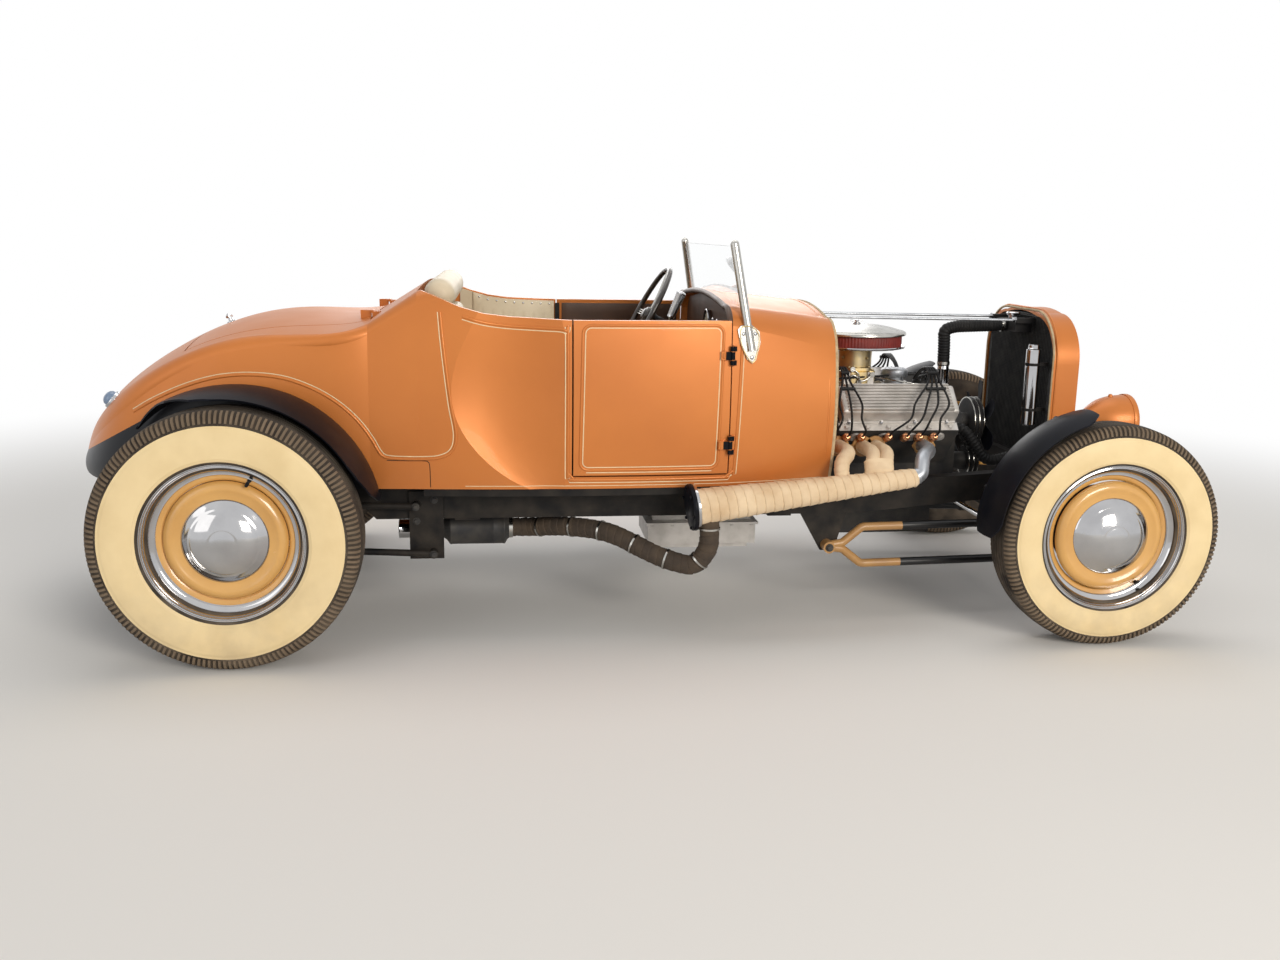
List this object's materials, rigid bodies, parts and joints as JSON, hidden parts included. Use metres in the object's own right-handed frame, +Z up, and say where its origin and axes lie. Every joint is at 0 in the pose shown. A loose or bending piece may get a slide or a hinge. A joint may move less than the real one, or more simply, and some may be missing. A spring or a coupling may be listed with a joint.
{
  "type": "hot rod",
  "caption": "Open two-seat hot rod with turtle deck, exposed V engine, bobbed and cycle mudguards, wide pale-wall tyres, opening doors and lid, and working steering.",
  "frame": {"origin": "on the ground, at the middle of the whole car's length and width", "axes": "+X forward to the radiator, +Y to the car's left, +Z up"},
  "size_m": [3.67, 1.63, 1.266],
  "materials": {
    "body_paint": "satin copper",
    "fender_black": "gloss black",
    "frame_black": "satin black",
    "upholstery": "cream, pleated",
    "dash_brown": "dark brown",
    "rim_dark": "dark rim",
    "polished_metal": "polished",
    "clear_glass": "clear",
    "lens_glass": "chrome ring with clear lens",
    "lamp_blue": "lamp lens",
    "chrome": "bright",
    "wishbone_tan": "tan yokes",
    "engine_iron": "dark painted iron",
    "cast_alloy": "cast",
    "hose_rubber": "matt",
    "header_wrap": "woven heat wrap",
    "wheel_tan": "gloss",
    "tyre": "matt, wide pale sidewall"
  },
  "bodies": {
    "chassis": {"cowl": "body_paint", "tub": "body_paint", "tail_shell": "body_paint", "radiator_shell": "body_paint", "headlight_buckets": "body_paint", "rear_fenders": "fender_black", "frame_rails": "frame_black", "frame_crossmembers": "frame_black", "floor_pan": "frame_black", "front_spring": "frame_black", "rear_axle": "frame_black", "rear_links": "frame_black", "radiator": "frame_black", "front_axle": "frame_black", "steering_column": "frame_black", "grille": "frame_black", "fan_drive": "frame_black", "seat_cushion": "upholstery", "seat_back": "upholstery", "side_trim": "upholstery", "dashboard": "dash_brown", "windshield_posts": "polished_metal", "levers": "polished_metal", "windshield_glass": "clear_glass", "headlight_rims": "lens_glass", "tail_lamps": "lamp_blue", "support_rods": "chrome", "air_cleaner": "chrome", "wishbones": "wishbone_tan", "engine_block": "engine_iron", "valve_covers": "cast_alloy", "transmission": "cast_alloy", "intake": "cast_alloy", "hoses": "hose_rubber", "headers": "header_wrap", "exhaust_pipes": "header_wrap"},
    "door_right": {"door_right": "body_paint"},
    "door_left": {"door_left": "body_paint"},
    "deck_lid": {"deck_lid": "body_paint"},
    "steering_wheel": {"steering_wheel": "rim_dark"},
    "knuckle_right": {"knuckle_right": "frame_black", "front_fender_right": "fender_black"},
    "knuckle_left": {"knuckle_left": "frame_black", "front_fender_left": "fender_black"},
    "tie_rod": {"tie_rod": "chrome"},
    "wheel_front_right": {"tyre_front_right": "tyre", "wheel_front_right": "wheel_tan"},
    "wheel_front_left": {"tyre_front_left": "tyre", "wheel_front_left": "wheel_tan"},
    "wheel_rear_right": {"tyre_rear_right": "tyre", "wheel_rear_right": "wheel_tan"},
    "wheel_rear_left": {"tyre_rear_left": "tyre", "wheel_rear_left": "wheel_tan"}
  },
  "joints": [
    {"name": "door_right_hinge", "type": "hinge", "parent": "chassis", "child": "door_right", "pos_m": [0.2735, -0.565, 0.77], "axis": [0, 0, 1], "range_deg": [0, 65]},
    {"name": "door_left_hinge", "type": "hinge", "parent": "chassis", "child": "door_left", "pos_m": [0.2735, 0.565, 0.77], "axis": [0, 0, -1], "range_deg": [0, 65]},
    {"name": "deck_lid_hinge", "type": "hinge", "parent": "chassis", "child": "deck_lid", "pos_m": [-0.8525, 0, 1.024], "axis": [0, 1, 0], "range_deg": [0, 50]},
    {"name": "steer_right", "type": "hinge", "parent": "chassis", "child": "knuckle_right", "pos_m": [1.475, -0.6, 0.36], "axis": [0, 0, 1], "range_deg": [-28, 28]},
    {"name": "steer_left", "type": "hinge", "parent": "chassis", "child": "knuckle_left", "pos_m": [1.475, 0.6, 0.36], "axis": [0, 0, 1], "range_deg": [-28, 28]},
    {"name": "tie_rod_end", "type": "hinge", "parent": "knuckle_right", "child": "tie_rod", "pos_m": [1.345, -0.57, 0.256], "axis": [0, 0, 1], "range_deg": [-28, 28]},
    {"name": "steering_wheel_turn", "type": "hinge", "parent": "chassis", "child": "steering_wheel", "pos_m": [0.088, 0.23, 0.985], "axis": [-0.877, 0, 0.4805], "range_deg": [-420, 420]},
    {"name": "spin_front_right", "type": "hinge", "parent": "knuckle_right", "child": "wheel_front_right", "pos_m": [1.475, -0.712, 0.36], "axis": [0, 1, 0], "continuous": true},
    {"name": "spin_front_left", "type": "hinge", "parent": "knuckle_left", "child": "wheel_front_left", "pos_m": [1.475, 0.712, 0.36], "axis": [0, 1, 0], "continuous": true},
    {"name": "spin_rear_right", "type": "hinge", "parent": "chassis", "child": "wheel_rear_right", "pos_m": [-1.245, -0.72, 0.39], "axis": [0, 1, 0], "continuous": true},
    {"name": "spin_rear_left", "type": "hinge", "parent": "chassis", "child": "wheel_rear_left", "pos_m": [-1.245, 0.72, 0.39], "axis": [0, 1, 0], "continuous": true}
  ],
  "couplings": [
    {"joint": "steer_left", "follows": "steer_right", "ratio": 1},
    {"joint": "tie_rod_end", "follows": "steer_right", "ratio": -1},
    {"joint": "steering_wheel_turn", "follows": "steer_right", "ratio": 15}
  ]
}
